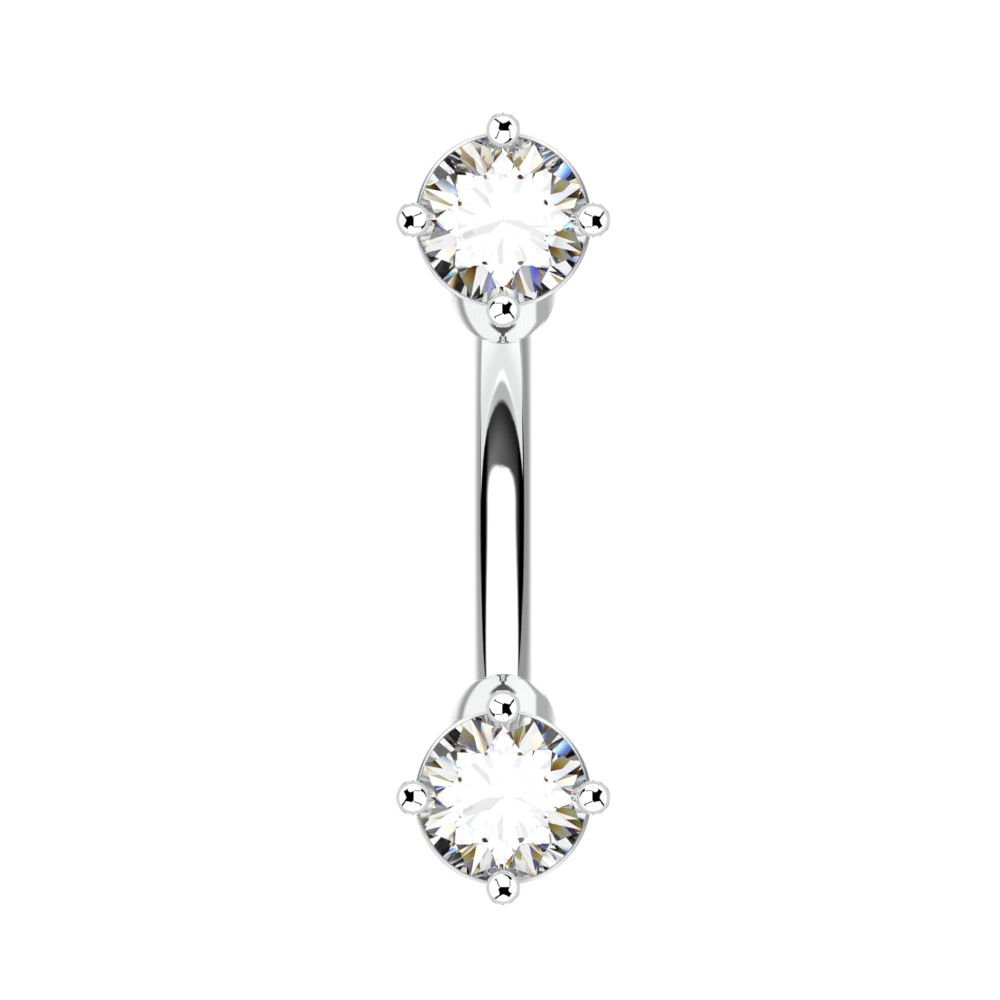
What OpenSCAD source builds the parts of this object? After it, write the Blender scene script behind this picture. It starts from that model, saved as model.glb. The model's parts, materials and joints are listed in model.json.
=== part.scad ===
// Curved barbell with two threaded ends. Each end is a small tapped ball soldered to a
// four-prong basket, and each basket holds a round brilliant-cut stone that faces forward.
// It lies as it rests by itself: on its curved back and on the side prongs of both ends.

/* [Bar] */
// Diameter of the bar (16 gauge)
bar_d = 1.2; // [1.1:0.05:1.25]
// Length of bare bar between the two balls, along the curve
wear_len = 8; // [7:0.5:10]
// Angle that each end of the bar turns forward
arc_half = 34.5; // [30:0.5:40]

/* [Thread] */
// Outer diameter of the thread
thread_d = 1.14; // [1.08:0.01:1.16]
// Length of the thread at each end
thread_len = 1.45; // [1.2:0.05:1.5]
// Distance from one thread groove to the next
thread_pitch = 0.175; // [0.15:0.005:0.25]
// Depth of the thread grooves
thread_depth = 0.105; // [0.08:0.005:0.14]

/* [Ball] */
// Diameter of the tapped ball
ball_d = 2.2; // [2.1:0.01:2.3]
// Distance from the stone's axis to the ball's centre, towards the bar
ball_drop = 1.45; // [1.4:0.01:1.6]
// Distance of the ball's centre behind the stone's girdle
ball_back = 1.86; // [1.8:0.01:2]
// Space round the thread in its hole
thread_gap = 0.03; // [0.02:0.005:0.04]
// Space between the ball and the end of the bare bar
seat_gap = 0.02; // [0.015:0.005:0.03]

/* [Stone] */
// Diameter of the round stone
stone_d = 3.5; // [3.4:0.05:3.6]
// Width of the table as a share of the diameter
table_share = 0.58; // [0.54:0.01:0.62]
// Angle of the eight main crown facets
crown_angle = 34.5; // [32:0.5:36]
// Angle of the eight star facets
star_angle = 22; // [20:0.5:24]
// Angle of the eight main pavilion facets
pavilion_angle = 44.4; // [42:0.1:45]
// How far the lower half facets reach to the culet, as a share of the radius
lower_share = 0.8; // [0.7:0.01:0.85]
// Thickness of the girdle
girdle_h = 0.1; // [0.08:0.01:0.12]
// Turn of the main facets about the stone's axis, away from the prongs
facet_turn = 22.5; // [0:0.5:45]

/* [Basket] */
// Radius of the bead at each prong's tip
bead_r = 0.362; // [0.34:0.002:0.38]
// Distance of the beads from the stone's axis
bead_ring_r = 1.868; // [1.84:0.002:1.9]
// Height of the beads' centres above the girdle
bead_rise = 0.42; // [0.4:0.01:0.45]
// Radius of the prong wire
prong_r = 0.28; // [0.24:0.01:0.3]
// Radius of the curve that each prong follows
prong_arc_r = 2.1; // [2:0.05:2.3]
// Inward lean of a prong at its tip
prong_lean = 8; // [4:1:12]
// Outer radius of the rail behind the girdle
rail_outer_r = 1.84; // [1.83:0.01:1.9]
// Radius of the rail's round wire
rail_r = 0.125; // [0.11:0.005:0.14]
// Radius of the base button where the prongs meet
base_r = 0.74; // [0.7:0.01:0.8]
// Distance of the rail's centre line behind the girdle's middle
rail_back = 0.165; // [0.16:0.005:0.2]
// Space kept round the stone
stone_gap = 0.02; // [0.015:0.005:0.03]

/* [Hidden] */
$fn = 96;

bar_r = bar_d / 2;
thread_r = thread_d / 2;
ball_r = ball_d / 2;
stone_r = stone_d / 2;
steel = "silver";
crystal = "azure";

// The bare bar ends just before its side meets the ball
seat = sqrt(ball_r ^ 2 - bar_r ^ 2) + seat_gap;
// Radius of the bar's curve, from its length and the turn of its ends
arc_r = wear_len * 180 / (2 * arc_half * PI);
// Half the distance between the balls' centres, and between the stones' axes
ball_z = arc_r * sin(arc_half) + seat * cos(arc_half);
stone_z = ball_z + ball_drop;
// How far behind the girdle plane the bar's centre line lies at its middle
belly_back = ball_back + seat * sin(arc_half) + arc_r * (1 - cos(arc_half));

tip_chamfer_h = 0.05;
thread_turns = floor((thread_len - tip_chamfer_h) / thread_pitch);
// Half the width of a groove's mouth
groove_half = 0.35 * thread_pitch;
// How deep the thread's core stands in the bar
thread_root = 0.3;
hole_r = thread_r + thread_gap;
hole_end_gap = 0.08;

// Stone: heights above the girdle's middle
half_girdle = girdle_h / 2;
table_r = stone_r * table_share;
table_z = half_girdle + (stone_r - table_r) * tan(crown_angle);
culet_z = -(half_girdle + stone_r * tan(pavilion_angle));
facets = 8;
pyramid_h = 3;
facet_step = 360 / facets;
half_step = facet_step / 2;
quarter_step = facet_step / 4;

// Distance of a facet's plane from the middle of the stone
crown_dist = stone_r * sin(crown_angle) + half_girdle * cos(crown_angle);
star_dist = table_r * cos(half_step) * sin(star_angle) + table_z * cos(star_angle);
pavilion_dist = stone_r * sin(pavilion_angle) + half_girdle * cos(pavilion_angle);

// Tip of each star facet, where it meets the two crown facets beside it
star_tip_r = (crown_dist * cos(star_angle) - star_dist * cos(crown_angle)) /
    (cos(half_step) * sin(crown_angle) * cos(star_angle) - sin(star_angle) * cos(crown_angle));
star_tip_z = (star_dist - star_tip_r * sin(star_angle)) / cos(star_angle);
// Tip of each pair of lower half facets, on the ridge between two pavilion facets
lower_tip_r = stone_r * (1 - lower_share);
lower_tip_z = (pavilion_dist - lower_tip_r * cos(half_step) * sin(pavilion_angle)) / cos(pavilion_angle);

// The sixteen half facets of each side join the girdle to those tips
function half_facet_angle(tip_r, tip_z) =
    atan2(tip_z - half_girdle, (stone_r - tip_r) * cos(quarter_step));
function half_facet_dist(angle) =
    stone_r * cos(quarter_step) * sin(angle) + half_girdle * cos(angle);
upper_angle = half_facet_angle(star_tip_r, star_tip_z);
lower_angle = half_facet_angle(lower_tip_r, lower_tip_z);
// The space round the stone, measured along its axis on the steepest facets
seat_lift = stone_gap / cos(lower_angle);

// Each prong follows a circle about this point, given as radius and height
prong_centre_r = bead_ring_r - prong_arc_r * cos(prong_lean);
prong_centre_z = bead_rise - prong_arc_r * sin(prong_lean);
prong_foot_r = 0.5;
prong_foot_angle = -acos((prong_foot_r - prong_centre_r) / prong_arc_r);

// The base button stands behind the culet
base_top = culet_z - stone_gap;
base_h = 0.6;
base_chamfer = 0.2;

// Resting pose. The silhouette along the bar is made of circles: [side, front, radius].
front_circles = [
    [bead_ring_r, bead_rise, bead_r],
    [prong_centre_r, prong_centre_z, prong_arc_r + prong_r]
];
back_circles = [
    [0, -belly_back, bar_r],
    [0, -ball_back, ball_r]
];
// Lean at which the floor touches a front circle and a back circle at once
function touch(a, b) =
    atan2(a[0] - b[0], a[1] - b[1]) +
    asin((a[2] - b[2]) / norm([a[0] - b[0], a[1] - b[1]]));
lean = min([for (b = back_circles) max([for (a = front_circles) touch(a, b)])]);
// Height of the stones' axes plane above the floor, and its place between front and back
rest_z = max([for (b = back_circles) b[0] * cos(lean) - b[1] * sin(lean) + b[2]]);
front_reach = bead_rise * cos(lean) + bead_ring_r * sin(lean) + bead_r;
back_reach = belly_back * cos(lean) + bar_r;
rest_y = (front_reach - back_reach) / 2;

// Lays the upright barbell down: its upper end points along +X and its stones face -Y and up
module lay_down()
    translate([0, rest_y, rest_z])
        rotate([-lean, 0, 0])
            rotate([0, 90, 0])
                children();

// Upright frame of the upper end's stone: +Z faces the viewer and +Y points away from the bar
module at_upper_end()
    translate([0, 0, stone_z])
        rotate([90, 0, 0])
            children();

module at_lower_end()
    mirror([0, 0, 1])
        at_upper_end()
            children();

// Ring-grooved thread that starts at z = 0 and ends in a chamfered tip
module thread()
    rotate_extrude()
        polygon([
            [0, -thread_root],
            [thread_r, -thread_root],
            for (i = [0 : thread_turns - 1], z = (i + 0.5) * thread_pitch) each [
                [thread_r, z - groove_half],
                [thread_r - thread_depth, z],
                [thread_r, z + groove_half]
            ],
            [thread_r, thread_turns * thread_pitch],
            [thread_r - thread_depth, thread_len],
            [0, thread_len]
        ]);

module bar_end()
    translate([0, belly_back - arc_r + arc_r * cos(arc_half), arc_r * sin(arc_half)])
        rotate([arc_half, 0, 0])
            thread();

module bar()
    color(steel) lay_down() {
        translate([0, belly_back - arc_r, 0])
            rotate([90, 0, 90])
                rotate([0, 0, -arc_half])
                    rotate_extrude(angle = 2 * arc_half)
                        translate([arc_r, 0])
                            circle(r = bar_r);
        bar_end();
        mirror([0, 0, 1])
            bar_end();
    }

// Eight-sided pyramid whose sides are one ring of facets: turned about the axis, sloped by
// angle, and dist away from the middle of the stone
module facet_ring(turn, angle, dist)
    rotate([0, 0, facet_turn + turn + half_step])
        translate([0, 0, dist / cos(angle) - pyramid_h])
            cylinder(r1 = pyramid_h / tan(angle) / cos(half_step), r2 = 0, h = pyramid_h, $fn = facets);

module crown()
    intersection() {
        cylinder(r = stone_r, h = table_z);
        facet_ring(0, crown_angle, crown_dist);
        facet_ring(half_step, star_angle, star_dist);
        intersection_for (side = [-1, 1])
            facet_ring(side * quarter_step, upper_angle, half_facet_dist(upper_angle));
    }

module pavilion()
    mirror([0, 0, 1])
        intersection() {
            cylinder(r = stone_r, h = -culet_z);
            facet_ring(0, pavilion_angle, pavilion_dist);
            intersection_for (side = [-1, 1])
                facet_ring(side * quarter_step, lower_angle, half_facet_dist(lower_angle));
        }

module stone() {
    crown();
    pavilion();
}

// Round envelope of the stone with the seat's gap, cut from the metal
module stone_seat()
    rotate_extrude()
        polygon([
            [0, culet_z - seat_lift],
            [lower_tip_r, -lower_tip_z - seat_lift],
            [stone_r + stone_gap, -half_girdle - stone_gap],
            [stone_r + stone_gap, half_girdle + stone_gap],
            [star_tip_r, star_tip_z + seat_lift],
            [table_r, table_z + seat_lift],
            [0, table_z + seat_lift]
        ]);

module prong() {
    translate([prong_centre_r, 0, prong_centre_z])
        rotate([90, 0, 0])
            rotate([0, 0, prong_foot_angle])
                rotate_extrude(angle = prong_lean - prong_foot_angle)
                    translate([prong_arc_r, 0])
                        circle(r = prong_r);
    translate([bead_ring_r, 0, bead_rise])
        sphere(r = bead_r);
}

module rail()
    rotate_extrude()
        translate([rail_outer_r - rail_r, -rail_back])
            circle(r = rail_r);

module base_button()
    translate([0, 0, base_top - base_h])
        rotate_extrude()
            polygon([
                [0, 0],
                [base_r - base_chamfer, 0],
                [base_r, base_chamfer],
                [base_r, base_h],
                [0, base_h]
            ]);

// Hole for the thread, along the bar's end and open towards the bar
module thread_hole()
    translate([0, -ball_drop, -ball_back])
        rotate([-90, 0, 0])
            rotate([arc_half, 0, 0])
                translate([0, 0, -2 * ball_r])
                    cylinder(r = hole_r, h = 2 * ball_r - seat + thread_len + hole_end_gap);

module setting()
    difference() {
        union() {
            translate([0, -ball_drop, -ball_back])
                sphere(r = ball_r);
            for (i = [0 : 3])
                rotate([0, 0, 90 * i])
                    prong();
            rail();
            base_button();
        }
        stone_seat();
        thread_hole();
    }

module upper_setting() color(steel) lay_down() at_upper_end() setting();
module lower_setting() color(steel) lay_down() at_lower_end() setting();
module upper_stone() color(crystal) lay_down() at_upper_end() stone();
module lower_stone() color(crystal) lay_down() at_lower_end() stone();

bar();
upper_setting();
upper_stone();
lower_setting();
lower_stone();
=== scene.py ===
import json
import math

import bpy
import numpy
from mathutils import Matrix, Vector


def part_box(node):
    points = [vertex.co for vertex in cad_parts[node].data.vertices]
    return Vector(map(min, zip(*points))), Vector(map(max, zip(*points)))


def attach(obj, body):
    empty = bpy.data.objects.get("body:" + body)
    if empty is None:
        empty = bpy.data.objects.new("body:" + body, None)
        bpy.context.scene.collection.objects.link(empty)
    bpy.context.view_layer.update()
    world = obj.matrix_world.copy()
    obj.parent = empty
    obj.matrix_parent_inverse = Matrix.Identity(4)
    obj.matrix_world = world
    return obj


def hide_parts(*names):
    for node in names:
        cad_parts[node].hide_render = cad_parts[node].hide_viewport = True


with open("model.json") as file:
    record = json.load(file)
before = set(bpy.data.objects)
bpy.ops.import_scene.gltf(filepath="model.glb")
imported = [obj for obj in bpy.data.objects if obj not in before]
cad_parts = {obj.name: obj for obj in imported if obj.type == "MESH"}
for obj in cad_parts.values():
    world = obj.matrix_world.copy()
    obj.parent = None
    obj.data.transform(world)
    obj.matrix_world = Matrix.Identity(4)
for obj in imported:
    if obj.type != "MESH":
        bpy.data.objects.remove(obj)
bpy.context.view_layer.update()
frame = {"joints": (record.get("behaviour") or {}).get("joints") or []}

mm = 0.001
inDegrees = math.degrees(1)

# The barbell is modelled upright, as it is worn: x to the right, y up along the bar and z towards
# the viewer, with the middle between the two stones' girdles at the origin. layDown then takes it
# to where it rests on the floor, as the frame has it.
barbell = {
    "barRadius": 0.6,
    "wearLength": 8.0,        # bare bar, along the curve
    "ballRadius": 1.1,
    "ballDrop": 1.45,         # from the stone's axis to the ball's centre
    "ballBack": 1.86,         # from the girdle back to the ball's centre
    "seatGap": 0.02,
}

unscrewWay = Vector(frame["joints"][0]["axis"])
endTurn = math.acos(abs(unscrewWay.x))
lean = math.atan2(unscrewWay.z, -unscrewWay.y)

seat = math.sqrt(barbell["ballRadius"] ** 2 - barbell["barRadius"] ** 2) + barbell["seatGap"]
arcRadius = barbell["wearLength"] / (2 * endTurn)
ballHeight = arcRadius * math.sin(endTurn) + seat * math.cos(endTurn)
stoneHeight = ballHeight + barbell["ballDrop"]
bellyBack = barbell["ballBack"] + seat * math.sin(endTurn) + arcRadius * (1 - math.cos(endTurn))
arcMiddle = Vector((0, 0, arcRadius - bellyBack))

pictureRight = Vector((0, -math.sin(lean), -math.cos(lean)))
pictureUp = Vector((1, 0, 0))
towardsViewer = Vector((0, -math.cos(lean), math.sin(lean)))
uprightTurn = Matrix((
    (pictureRight.x, pictureUp.x, towardsViewer.x, 0),
    (pictureRight.y, pictureUp.y, towardsViewer.y, 0),
    (pictureRight.z, pictureUp.z, towardsViewer.z, 0),
    (0, 0, 0, 1),
))
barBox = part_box("bar")
belly = Vector((0, barBox[1].y - barbell["barRadius"] * mm, barBox[0].z + barbell["barRadius"] * mm))
girdleMiddle = belly + towardsViewer * bellyBack * mm
layDown = Matrix.Translation(girdleMiddle) @ uprightTurn @ Matrix.Scale(mm, 4)
print("lean", round(math.degrees(lean), 2), "stones at", round(stoneHeight, 3))


# Modelling helpers
def deselectAll():
    if bpy.context.mode != "OBJECT":
        bpy.ops.object.mode_set(mode="OBJECT")
    bpy.ops.object.select_all(action="DESELECT")


def pick(piece):
    deselectAll()
    piece.select_set(True)
    bpy.context.view_layer.objects.active = piece


def editAll(piece):
    pick(piece)
    bpy.ops.object.mode_set(mode="EDIT")
    bpy.ops.mesh.select_all(action="SELECT")


def endEdit():
    bpy.ops.object.mode_set(mode="OBJECT")


def selectVerts(piece, test):
    pick(piece)
    bpy.ops.object.mode_set(mode="EDIT")
    bpy.ops.mesh.select_mode(type="VERT")
    bpy.ops.mesh.select_all(action="DESELECT")
    bpy.ops.object.mode_set(mode="OBJECT")
    for vert in piece.data.vertices:
        vert.select = test(vert.co)
    bpy.ops.object.mode_set(mode="EDIT")


def newest(name):
    piece = bpy.context.active_object
    piece.name = name
    piece.data.name = name
    return piece


def applyPlace(piece):
    pick(piece)
    bpy.ops.object.transform_apply(location=True, rotation=True, scale=True)


def copyPiece(piece, name):
    copied = piece.copy()
    copied.data = piece.data.copy()
    copied.name = name
    copied.data.name = name
    bpy.context.collection.objects.link(copied)
    return copied


def boolean(piece, other, operation):
    pick(piece)
    cut = piece.modifiers.new("cut", "BOOLEAN")
    cut.operation = operation
    cut.object = other
    cut.solver = "MANIFOLD"
    bpy.ops.object.modifier_apply(modifier=cut.name)
    bpy.data.objects.remove(other)


def outwards(piece):
    editAll(piece)
    bpy.ops.mesh.normals_make_consistent(inside=False)
    endEdit()


def smooth(piece, angle):
    pick(piece)
    bpy.ops.object.shade_smooth_by_angle(angle=math.radians(angle))


# Bar
bar = {"sides": 96, "arcSteps": 120, "threadRadius": 0.57, "threadDepth": 0.105, "threadLength": 1.45,
       "pitch": 0.175, "crest": 0.04, "threadSteps": 72, "tipChamfer": 0.05, "root": 0.3,
       "shoulderGap": 0.006}   # left between bar and ball when screwed tight


def makeBar():
    reach = endTurn + (barbell["seatGap"] - bar["shoulderGap"]) / arcRadius
    start = arcMiddle + Vector((0, -math.sin(reach), -math.cos(reach))) * arcRadius
    bpy.ops.mesh.primitive_circle_add(vertices=bar["sides"], radius=barbell["barRadius"], fill_type="NGON",
                                      location=start, rotation=(math.pi / 2 - reach, 0, 0))
    piece = newest("bar")
    applyPlace(piece)
    editAll(piece)
    bpy.ops.mesh.spin(steps=bar["arcSteps"], angle=-2 * reach, center=arcMiddle, axis=(1, 0, 0))
    bpy.ops.mesh.select_all(action="SELECT")
    bpy.ops.mesh.remove_doubles(threshold=0.0001)
    endEdit()
    outwards(piece)
    for side in (1, -1):
        boolean(piece, makeThread(side), "UNION")
    smooth(piece, 35)
    return piece


def makeThread(side):
    core = bar["threadRadius"] - bar["threadDepth"]
    length = bar["threadLength"] + bar["root"]
    bpy.ops.mesh.primitive_cylinder_add(vertices=bar["sides"], radius=core, depth=length,
                                        location=(0, 0, length / 2 - bar["root"]))
    piece = newest("threadCore")
    applyPlace(piece)
    selectVerts(piece, lambda co: co.z > 0)
    bpy.ops.mesh.bevel(offset=bar["tipChamfer"], segments=3, affect="EDGES")
    endEdit()
    boolean(piece, makeRidge(core, length), "UNION")
    piece.location = arcMiddle + Vector((0, math.sin(endTurn) * side, -math.cos(endTurn))) * arcRadius
    piece.rotation_euler = (math.atan2(-math.cos(endTurn) * side, math.sin(endTurn)), 0, 0)
    applyPlace(piece)
    return piece


def makeRidge(core, length):
    # the outline of the ridge, narrow at its crest, is wound round the core
    start = -bar["root"] - bar["pitch"]
    inner = core - 0.03
    bpy.ops.mesh.primitive_plane_add(size=1, location=((inner + bar["threadRadius"]) / 2, 0, start),
                                     rotation=(math.pi / 2, 0, 0))
    piece = newest("ridge")
    piece.scale = (bar["threadRadius"] - inner, 0.98 * bar["pitch"], 1)
    applyPlace(piece)
    selectVerts(piece, lambda co: co.x > core)
    bpy.ops.transform.resize(value=(1, 1, bar["crest"] / bar["pitch"]), center_override=(0, 0, start))
    bpy.ops.mesh.select_all(action="SELECT")
    bpy.ops.mesh.delete(type="ONLY_FACE")
    endEdit()
    pick(piece)
    screw = piece.modifiers.new("screw", "SCREW")
    screw.screw_offset = bar["pitch"]
    screw.iterations = int(length / bar["pitch"]) + 2
    screw.steps = bar["threadSteps"]
    screw.render_steps = bar["threadSteps"]
    bpy.ops.object.modifier_apply(modifier=screw.name)
    editAll(piece)
    bpy.ops.mesh.remove_doubles(threshold=0.00001)
    bpy.ops.mesh.select_all(action="DESELECT")
    bpy.ops.mesh.select_mode(type="EDGE")
    bpy.ops.mesh.select_non_manifold()
    bpy.ops.mesh.edge_face_add()
    endEdit()
    outwards(piece)
    bpy.ops.mesh.primitive_cylinder_add(vertices=bar["sides"], radius=1, depth=length - 0.04,
                                        location=(0, 0, length / 2 - bar["root"] - 0.02))
    keep = newest("keep")
    applyPlace(keep)
    boolean(piece, keep, "INTERSECT")
    return piece


# Stone
stone = {"radius": 1.75, "tableShare": 0.58, "crownAngle": 34.5, "starAngle": 22, "pavilionAngle": 44.4,
         "lowerShare": 0.8, "girdle": 0.1, "girdleSides": 192, "facetTurn": 22.5,
         "handCut": 0.5,      # how far a facet may stray from its angle, in degrees
         "handSeed": 4, "pavilionStray": 0.12, "lowerStray": 0.3,   # shares of that behind the girdle
         "crownFacets": 33}

halfGirdle = stone["girdle"] / 2
stoneCrown, stoneStar, stonePavilion = (
    math.radians(stone[name]) for name in ("crownAngle", "starAngle", "pavilionAngle"))
tableRadius = stone["radius"] * stone["tableShare"]
stoneTop = halfGirdle + (stone["radius"] - tableRadius) * math.tan(stoneCrown)
stoneDepth = halfGirdle + stone["radius"] * math.tan(stonePavilion)
step = math.pi / 4
crownDist = stone["radius"] * math.sin(stoneCrown) + halfGirdle * math.cos(stoneCrown)
starDist = tableRadius * math.cos(step / 2) * math.sin(stoneStar) + stoneTop * math.cos(stoneStar)
pavilionDist = stone["radius"] * math.sin(stonePavilion) + halfGirdle * math.cos(stonePavilion)
starTip = crownDist * math.cos(stoneStar) - starDist * math.cos(stoneCrown)
starTip /= (math.cos(step / 2) * math.sin(stoneCrown) * math.cos(stoneStar)
            - math.sin(stoneStar) * math.cos(stoneCrown))
starTipZ = (starDist - starTip * math.sin(stoneStar)) / math.cos(stoneStar)
lowerTip = stone["radius"] * (1 - stone["lowerShare"])
lowerTipZ = (pavilionDist - lowerTip * math.cos(step / 2) * math.sin(stonePavilion)) / math.cos(stonePavilion)


def facetPlanes():
    planes = [(Vector((0, 0, 1)), stoneTop)]

    def ring(count, turn, angle, dist, upwards):
        for index in range(count):
            azimuth = turn + index * 2 * math.pi / count
            planes.append((Vector((math.sin(angle) * math.cos(azimuth), math.sin(angle) * math.sin(azimuth),
                                   math.cos(angle) * upwards)), dist))

    def halves(tip, tipZ, upwards):
        angle = math.atan2(tipZ - halfGirdle, (stone["radius"] - tip) * math.cos(step / 4))
        ring(16, step / 4, angle, stone["radius"] * math.cos(step / 4) * math.sin(angle)
             + halfGirdle * math.cos(angle), upwards)

    ring(8, 0, stoneCrown, crownDist, 1)
    ring(8, step / 2, stoneStar, starDist, 1)
    halves(starTip, starTipZ, 1)
    ring(8, 0, stonePavilion, pavilionDist, -1)
    halves(lowerTip, lowerTipZ, -1)
    # cut by hand: every facet but the table strays a little, and those of the pavilion least
    stray = numpy.random.default_rng(stone["handSeed"]).uniform(-1, 1, (len(planes), 3))
    stray *= math.radians(stone["handCut"])
    stray[0] = 0
    lowerFrom = stone["crownFacets"] + 8
    stray[stone["crownFacets"]:lowerFrom] *= stone["pavilionStray"]
    stray[lowerFrom:] *= stone["lowerStray"]
    turned = Matrix.Rotation(math.radians(stone["facetTurn"]), 3, "Z")
    return [(turned @ (normal + Vector(shift)).normalized(), dist)
            for (normal, dist), shift in zip(planes, stray.tolist())]


def makeStone():
    bpy.ops.mesh.primitive_cylinder_add(vertices=stone["girdleSides"], radius=stone["radius"],
                                        depth=stoneTop + stoneDepth + 0.2,
                                        location=(0, 0, (stoneTop - stoneDepth) / 2))
    piece = newest("stone")
    applyPlace(piece)
    editAll(piece)
    for normal, dist in facetPlanes():
        bpy.ops.mesh.select_all(action="SELECT")
        bpy.ops.mesh.bisect(plane_co=normal * dist, plane_no=normal, use_fill=True, clear_outer=True,
                            threshold=0.00002)
    bpy.ops.mesh.select_all(action="SELECT")
    bpy.ops.mesh.remove_doubles(threshold=0.00005)
    bpy.ops.mesh.normals_make_consistent(inside=False)
    endEdit()
    pick(piece)
    bpy.ops.object.shade_flat()
    return piece


# Setting
setting = {"beadRadius": 0.362, "beadRing": 1.868, "beadRise": 0.42, "prongRadius": 0.28, "prongArc": 2.1,
           "prongLean": 8, "prongFoot": 0.5, "railOuter": 1.84, "railRadius": 0.125, "railBack": 0.165,
           "baseRadius": 0.74, "baseHeight": 0.6, "baseChamfer": 0.2, "stoneGap": 0.02, "holeRadius": 0.6,
           "holeEndGap": 0.08}
ballMiddle = Vector((0, -barbell["ballDrop"], -barbell["ballBack"]))
beadMiddles = [Matrix.Rotation(turn * math.pi / 2, 3, "Z")
               @ Vector((0, setting["beadRing"], setting["beadRise"]))
               for turn in range(4)]


def makeProng():
    inward = math.radians(setting["prongLean"])
    middle = Vector((0, setting["beadRing"] - setting["prongArc"] * math.cos(inward),
                     setting["beadRise"] - setting["prongArc"] * math.sin(inward)))
    foot = math.acos((setting["prongFoot"] - middle.y) / setting["prongArc"])
    start = middle + Vector((0, math.cos(foot), -math.sin(foot))) * setting["prongArc"]
    bpy.ops.mesh.primitive_circle_add(vertices=64, radius=setting["prongRadius"], fill_type="NGON",
                                      location=start, rotation=(-foot, 0, 0))
    piece = newest("prong")
    applyPlace(piece)
    editAll(piece)
    bpy.ops.mesh.spin(steps=64, angle=-foot - inward, center=middle, axis=(1, 0, 0))
    bpy.ops.mesh.select_all(action="SELECT")
    bpy.ops.mesh.remove_doubles(threshold=0.0001)
    endEdit()
    outwards(piece)
    bpy.ops.mesh.primitive_uv_sphere_add(segments=96, ring_count=64, radius=setting["beadRadius"],
                                         location=beadMiddles[0])
    bead = newest("bead")
    applyPlace(bead)
    boolean(piece, bead, "UNION")
    return piece


def makeSetting():
    bpy.ops.mesh.primitive_uv_sphere_add(segments=192, ring_count=96, radius=barbell["ballRadius"],
                                         location=ballMiddle)
    piece = newest("setting")
    applyPlace(piece)
    baseTop = -stoneDepth - setting["stoneGap"]
    bpy.ops.mesh.primitive_cylinder_add(vertices=128, radius=setting["baseRadius"], depth=setting["baseHeight"],
                                        location=(0, 0, baseTop - setting["baseHeight"] / 2))
    base = newest("base")
    applyPlace(base)
    selectVerts(base, lambda co: co.z < baseTop - setting["baseHeight"] + 0.01)
    bpy.ops.mesh.bevel(offset=setting["baseChamfer"], segments=1, affect="EDGES")
    endEdit()
    boolean(piece, base, "UNION")
    bpy.ops.mesh.primitive_torus_add(major_radius=setting["railOuter"] - setting["railRadius"],
                                     minor_radius=setting["railRadius"], major_segments=256,
                                     minor_segments=48, location=(0, 0, -setting["railBack"]))
    rail = newest("rail")
    applyPlace(rail)
    boolean(piece, rail, "UNION")
    prong = makeProng()
    for turn in range(4):
        copied = copyPiece(prong, "prong" + str(turn))
        copied.rotation_euler = (0, 0, turn * math.pi / 2)
        applyPlace(copied)
        boolean(piece, copied, "UNION")
    bpy.data.objects.remove(prong)
    boolean(piece, makeSeat(), "DIFFERENCE")
    boolean(piece, makeHole(), "DIFFERENCE")
    smooth(piece, 30)
    return piece


def makeSeat():
    # follows the stone's widest outline, with the gap round it
    wide = stone["radius"] + setting["stoneGap"]
    edge = halfGirdle + setting["stoneGap"]
    lift = setting["stoneGap"] * math.sqrt(2)
    bpy.ops.mesh.primitive_cylinder_add(vertices=256, radius=wide, depth=2 * edge, location=(0, 0, 0))
    piece = newest("seat")
    applyPlace(piece)
    for outline in (((wide, edge), (starTip, starTipZ + lift), (tableRadius, stoneTop + lift)),
                    ((wide, -edge), (lowerTip, -lowerTipZ - lift), (0.001, -stoneDepth - lift))):
        for (fromRadius, fromZ), (toRadius, toZ) in zip(outline, outline[1:]):
            selectVerts(piece, lambda co: abs(co.z - fromZ) < 0.0001)
            bpy.ops.mesh.extrude_region_move(TRANSFORM_OT_translate={"value": (0, 0, toZ - fromZ)})
            share = toRadius / fromRadius
            bpy.ops.transform.resize(value=(share, share, 1), center_override=(0, 0, toZ))
            endEdit()
    editAll(piece)
    bpy.ops.mesh.remove_doubles(threshold=0.00001)
    endEdit()
    outwards(piece)
    return piece


def makeHole():
    depth = 2 * barbell["ballRadius"] - seat + bar["threadLength"] + setting["holeEndGap"]
    bpy.ops.mesh.primitive_cylinder_add(vertices=128, radius=setting["holeRadius"], depth=depth,
                                        location=(0, 0, depth / 2 - 2 * barbell["ballRadius"]))
    piece = newest("hole")
    applyPlace(piece)
    piece.location = ballMiddle
    piece.rotation_euler = (endTurn - math.pi / 2, 0, 0)
    applyPlace(piece)
    return piece


def atEnd(piece, name, side, mirrored):
    copied = copyPiece(piece, name)
    if mirrored:
        copied.data.transform(Matrix.Scale(-1, 4, (0, 1, 0)))
        copied.data.flip_normals()
    copied.data.transform(layDown @ Matrix.Translation((0, side * stoneHeight, 0)))
    return copied


barPiece = makeBar()
barPiece.data.transform(layDown)
barPiece.name = "barSteel"
print("bar modelled", len(barPiece.data.vertices))
settingModel = makeSetting()
print("setting modelled", len(settingModel.data.vertices))
stoneModel = makeStone()
print("stone modelled", len(stoneModel.data.polygons), "facets")


# Material helpers
def newMaterial(name):
    material = bpy.data.materials.new(name)
    material.use_nodes = True
    material.cycles.emission_sampling = "NONE"
    tree = material.node_tree
    tree.nodes.clear()
    return material, tree, tree.nodes.new("ShaderNodeOutputMaterial")


def link(tree, value, socket):
    if isinstance(value, (int, float, tuple)):
        socket.default_value = value
    else:
        tree.links.new(value, socket)


def calc(tree, operation, *values):
    node = tree.nodes.new("ShaderNodeMath")
    node.operation = operation
    for index, value in enumerate(values):
        link(tree, value, node.inputs[index])
    return node.outputs[0]


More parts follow.
